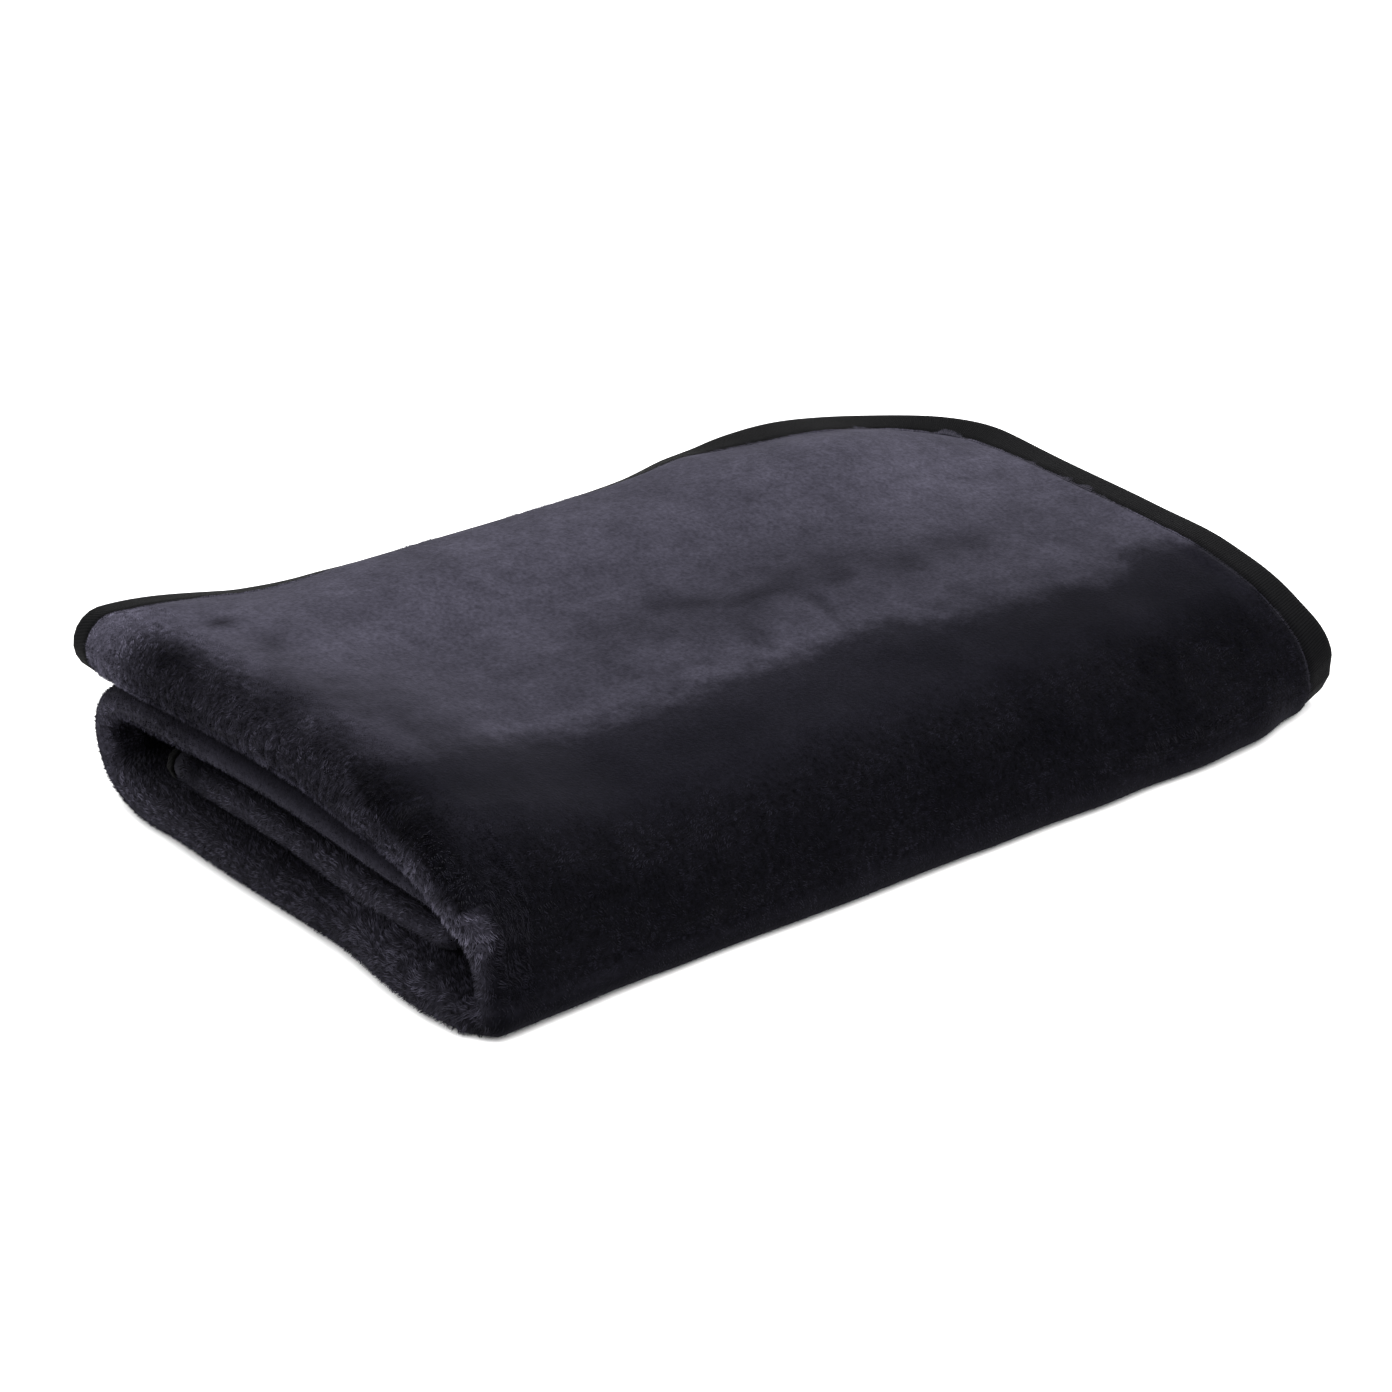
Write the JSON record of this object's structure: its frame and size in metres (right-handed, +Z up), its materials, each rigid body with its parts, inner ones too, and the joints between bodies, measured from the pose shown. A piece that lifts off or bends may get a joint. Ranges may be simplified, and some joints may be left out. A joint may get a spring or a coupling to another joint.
{
  "type": "pet blanket",
  "caption": "Square plush fleece pet blanket with rounded corners and a bound edge, folded in half and rolled over itself into a flat pad.",
  "frame": {"origin": "middle of the folded blanket's box, on the surface it lies on", "axes": "+X along the folded length, from the folded end to the open end; +Y from the front to the back; +Z up"},
  "size_m": [0.4988, 0.3034, 0.0935],
  "materials": {
    "plush": "deep matte pile, dark charcoal with a cool violet cast and a soft sheen where it lies over",
    "twill": "matte black woven tape"
  },
  "bodies": {
    "root": {"fleece_cloth": "plush", "edge_binding": "twill"}
  },
  "joints": []
}
